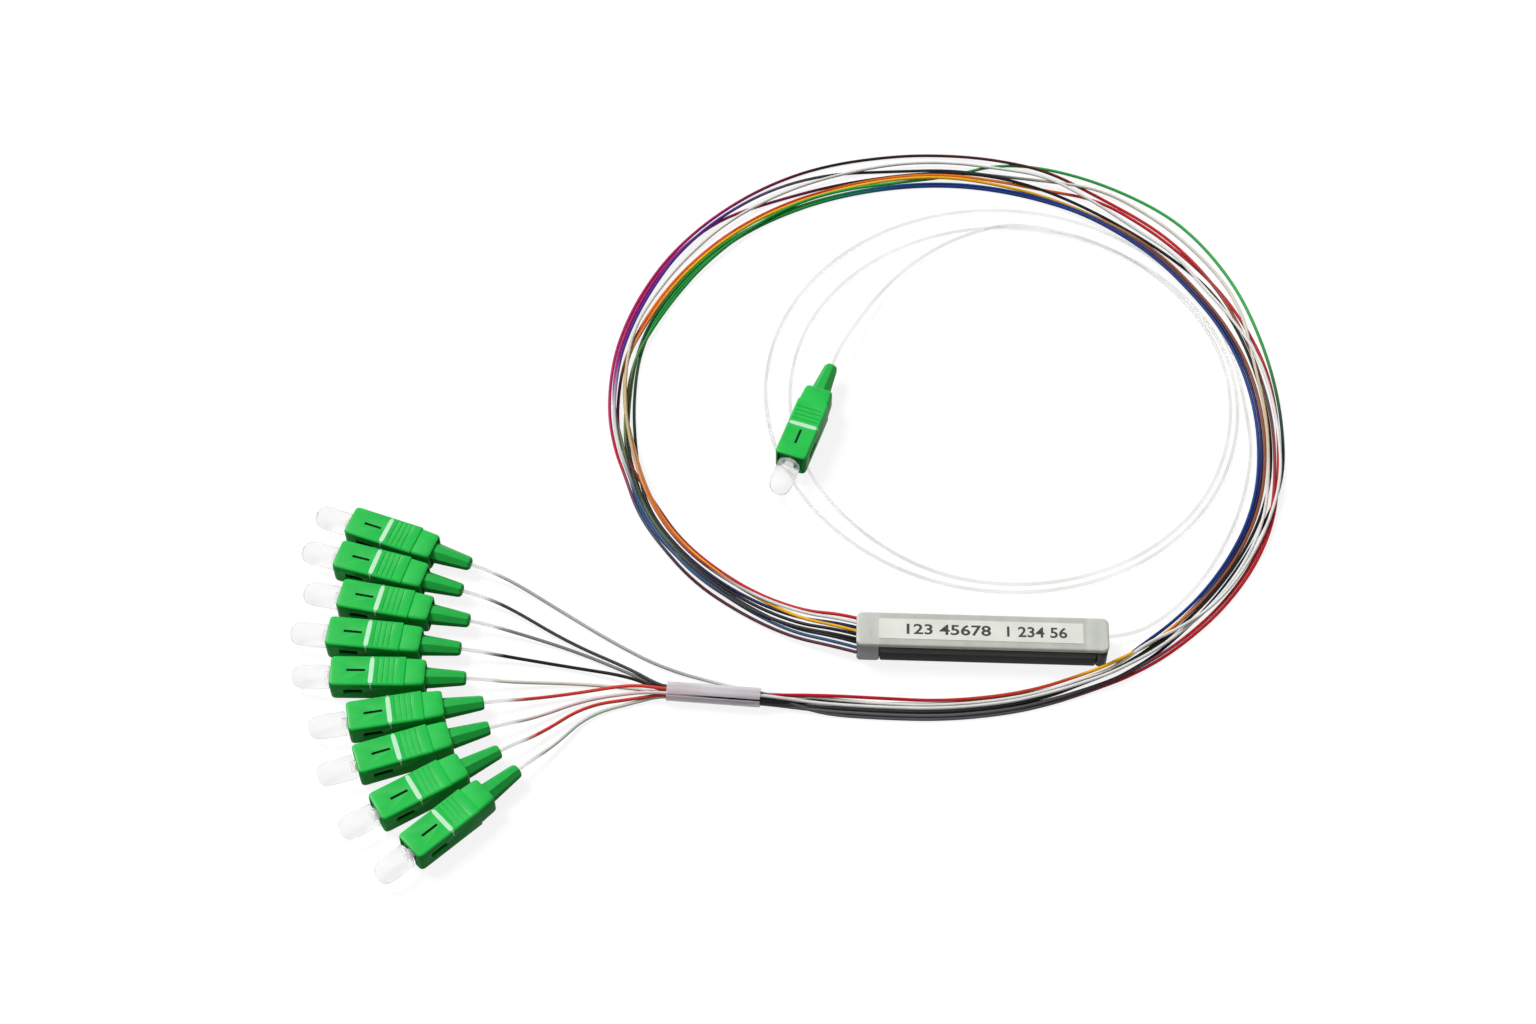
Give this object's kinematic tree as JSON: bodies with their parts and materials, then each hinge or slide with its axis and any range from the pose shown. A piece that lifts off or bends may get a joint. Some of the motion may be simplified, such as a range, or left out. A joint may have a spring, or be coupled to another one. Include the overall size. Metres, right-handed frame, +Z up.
{
  "type": "fibre optic splitter",
  "caption": "Slim frosted splitter case with coiled coloured output tubes that fan out to green square connectors, and a clear input tube with a capped connector.",
  "frame": {"origin": "the middle of the splitter case's underside, on the table", "axes": "+X along the case towards its input end, +Z up"},
  "size_m": [0.2706, 0.2511, 0.009],
  "materials": {
    "frosted_case": "frosted translucent plastic",
    "dark_tray": "dark glossy moulding",
    "clear_seal": "clear resin",
    "label": "matt paper",
    "silica": "polished glass",
    "clear_sleeve": "translucent sleeve",
    "band": "nine coloured tubes side by side",
    "clear_tube": "clear tube",
    "connector_green": "glossy green moulding",
    "boot_green": "flexible green boot",
    "zirconia": "polished white ceramic",
    "spring_steel": "spring steel",
    "crimp_metal": "crimped metal",
    "cap_white": "translucent white dust cap",
    "tube_1": "coloured tube",
    "tube_2": "coloured tube",
    "tube_3": "coloured tube",
    "tube_4": "coloured tube",
    "tube_5": "coloured tube",
    "tube_6": "coloured tube",
    "tube_7": "coloured tube",
    "tube_8": "coloured tube",
    "tube_9": "coloured tube"
  },
  "bodies": {
    "splitter": {"top_cover": "frosted_case", "base_tray": "dark_tray", "label_strip": "label", "output_end_seal": "clear_seal", "input_end_seal": "clear_seal", "splitter_chip": "silica", "output_fibre_array": "silica", "input_fibre_array": "silica", "fan_sleeve": "clear_sleeve", "output_coil": "band", "output_leg_1": "tube_1", "output_leg_2": "tube_2", "output_leg_3": "tube_3", "output_leg_4": "tube_4", "output_leg_5": "tube_5", "output_leg_6": "tube_6", "output_leg_7": "tube_7", "output_leg_8": "tube_8", "output_leg_9": "tube_9", "input_coil": "clear_tube", "input_lead": "clear_tube", "input_tail": "clear_tube", "plug_frames": "connector_green", "ferrule_springs": "spring_steel", "rear_bodies": "crimp_metal", "boots": "boot_green"},
    "output_1_grip": {"output_1_grip": "connector_green"},
    "output_1_ferrule": {"output_1_ferrule": "zirconia"},
    "output_1_dust_cap": {"output_1_dust_cap": "cap_white"},
    "output_2_grip": {"output_2_grip": "connector_green"},
    "output_2_ferrule": {"output_2_ferrule": "zirconia"},
    "output_2_dust_cap": {"output_2_dust_cap": "cap_white"},
    "output_3_grip": {"output_3_grip": "connector_green"},
    "output_3_ferrule": {"output_3_ferrule": "zirconia"},
    "output_3_dust_cap": {"output_3_dust_cap": "cap_white"},
    "output_4_grip": {"output_4_grip": "connector_green"},
    "output_4_ferrule": {"output_4_ferrule": "zirconia"},
    "output_4_dust_cap": {"output_4_dust_cap": "cap_white"},
    "output_5_grip": {"output_5_grip": "connector_green"},
    "output_5_ferrule": {"output_5_ferrule": "zirconia"},
    "output_5_dust_cap": {"output_5_dust_cap": "cap_white"},
    "output_6_grip": {"output_6_grip": "connector_green"},
    "output_6_ferrule": {"output_6_ferrule": "zirconia"},
    "output_6_dust_cap": {"output_6_dust_cap": "cap_white"},
    "output_7_grip": {"output_7_grip": "connector_green"},
    "output_7_ferrule": {"output_7_ferrule": "zirconia"},
    "output_7_dust_cap": {"output_7_dust_cap": "cap_white"},
    "output_8_grip": {"output_8_grip": "connector_green"},
    "output_8_ferrule": {"output_8_ferrule": "zirconia"},
    "output_8_dust_cap": {"output_8_dust_cap": "cap_white"},
    "output_9_grip": {"output_9_grip": "connector_green"},
    "output_9_ferrule": {"output_9_ferrule": "zirconia"},
    "output_9_dust_cap": {"output_9_dust_cap": "cap_white"},
    "input_grip": {"input_grip": "connector_green"},
    "input_ferrule": {"input_ferrule": "zirconia"},
    "input_dust_cap": {"input_dust_cap": "cap_white"}
  },
  "joints": [
    {"name": "output_1_grip_slide", "type": "slide", "parent": "splitter", "child": "output_1_grip", "axis": [0.9472, -0.3206, 0], "range_m": [0, 0.0016]},
    {"name": "output_1_ferrule_float", "type": "slide", "parent": "splitter", "child": "output_1_ferrule", "axis": [0.9472, -0.3206, 0], "range_m": [0, 0.0006], "stiffness_N_per_m": 600},
    {"name": "output_1_dust_cap_pull", "type": "slide", "parent": "splitter", "child": "output_1_dust_cap", "axis": [-0.9472, 0.3206, 0], "range_m": [0, 0.016]},
    {"name": "output_2_grip_slide", "type": "slide", "parent": "splitter", "child": "output_2_grip", "axis": [0.9681, -0.2504, 0], "range_m": [0, 0.0016]},
    {"name": "output_2_ferrule_float", "type": "slide", "parent": "splitter", "child": "output_2_ferrule", "axis": [0.9681, -0.2504, 0], "range_m": [0, 0.0006], "stiffness_N_per_m": 600},
    {"name": "output_2_dust_cap_pull", "type": "slide", "parent": "splitter", "child": "output_2_dust_cap", "axis": [-0.9681, 0.2504, 0], "range_m": [0, 0.016]},
    {"name": "output_3_grip_slide", "type": "slide", "parent": "splitter", "child": "output_3_grip", "axis": [0.9863, -0.165, 0], "range_m": [0, 0.0016]},
    {"name": "output_3_ferrule_float", "type": "slide", "parent": "splitter", "child": "output_3_ferrule", "axis": [0.9863, -0.165, 0], "range_m": [0, 0.0006], "stiffness_N_per_m": 600},
    {"name": "output_3_dust_cap_pull", "type": "slide", "parent": "splitter", "child": "output_3_dust_cap", "axis": [-0.9863, 0.165, 0], "range_m": [0, 0.016]},
    {"name": "output_4_grip_slide", "type": "slide", "parent": "splitter", "child": "output_4_grip", "axis": [0.9972, -0.075, 0], "range_m": [0, 0.0016]},
    {"name": "output_4_ferrule_float", "type": "slide", "parent": "splitter", "child": "output_4_ferrule", "axis": [0.9972, -0.075, 0], "range_m": [0, 0.0006], "stiffness_N_per_m": 600},
    {"name": "output_4_dust_cap_pull", "type": "slide", "parent": "splitter", "child": "output_4_dust_cap", "axis": [-0.9972, 0.075, 0], "range_m": [0, 0.016]},
    {"name": "output_5_grip_slide", "type": "slide", "parent": "splitter", "child": "output_5_grip", "axis": [0.9998, 0.0209, 0], "range_m": [0, 0.0016]},
    {"name": "output_5_ferrule_float", "type": "slide", "parent": "splitter", "child": "output_5_ferrule", "axis": [0.9998, 0.0209, 0], "range_m": [0, 0.0006], "stiffness_N_per_m": 600},
    {"name": "output_5_dust_cap_pull", "type": "slide", "parent": "splitter", "child": "output_5_dust_cap", "axis": [-0.9998, -0.0209, 0], "range_m": [0, 0.016]},
    {"name": "output_6_grip_slide", "type": "slide", "parent": "splitter", "child": "output_6_grip", "axis": [0.9785, 0.2062, 0], "range_m": [0, 0.0016]},
    {"name": "output_6_ferrule_float", "type": "slide", "parent": "splitter", "child": "output_6_ferrule", "axis": [0.9785, 0.2062, 0], "range_m": [0, 0.0006], "stiffness_N_per_m": 600},
    {"name": "output_6_dust_cap_pull", "type": "slide", "parent": "splitter", "child": "output_6_dust_cap", "axis": [-0.9785, -0.2062, 0], "range_m": [0, 0.016]},
    {"name": "output_7_grip_slide", "type": "slide", "parent": "splitter", "child": "output_7_grip", "axis": [0.9367, 0.3502, 0], "range_m": [0, 0.0016]},
    {"name": "output_7_ferrule_float", "type": "slide", "parent": "splitter", "child": "output_7_ferrule", "axis": [0.9367, 0.3502, 0], "range_m": [0, 0.0006], "stiffness_N_per_m": 600},
    {"name": "output_7_dust_cap_pull", "type": "slide", "parent": "splitter", "child": "output_7_dust_cap", "axis": [-0.9367, -0.3502, 0], "range_m": [0, 0.016]},
    {"name": "output_8_grip_slide", "type": "slide", "parent": "splitter", "child": "output_8_grip", "axis": [0.8387, 0.5446, 0], "range_m": [0, 0.0016]},
    {"name": "output_8_ferrule_float", "type": "slide", "parent": "splitter", "child": "output_8_ferrule", "axis": [0.8387, 0.5446, 0], "range_m": [0, 0.0006], "stiffness_N_per_m": 600},
    {"name": "output_8_dust_cap_pull", "type": "slide", "parent": "splitter", "child": "output_8_dust_cap", "axis": [-0.8387, -0.5446, 0], "range_m": [0, 0.016]},
    {"name": "output_9_grip_slide", "type": "slide", "parent": "splitter", "child": "output_9_grip", "axis": [0.7133, 0.7009, 0], "range_m": [0, 0.0016]},
    {"name": "output_9_ferrule_float", "type": "slide", "parent": "splitter", "child": "output_9_ferrule", "axis": [0.7133, 0.7009, 0], "range_m": [0, 0.0006], "stiffness_N_per_m": 600},
    {"name": "output_9_dust_cap_pull", "type": "slide", "parent": "splitter", "child": "output_9_dust_cap", "axis": [-0.7133, -0.7009, 0], "range_m": [0, 0.016]},
    {"name": "input_grip_slide", "type": "slide", "parent": "splitter", "child": "input_grip", "axis": [0.3057, 0.9521, 0], "range_m": [0, 0.0016]},
    {"name": "input_ferrule_float", "type": "slide", "parent": "splitter", "child": "input_ferrule", "axis": [0.3057, 0.9521, 0], "range_m": [0, 0.0006], "stiffness_N_per_m": 600},
    {"name": "input_dust_cap_pull", "type": "slide", "parent": "splitter", "child": "input_dust_cap", "axis": [-0.3057, -0.9521, 0], "range_m": [0, 0.016]}
  ]
}
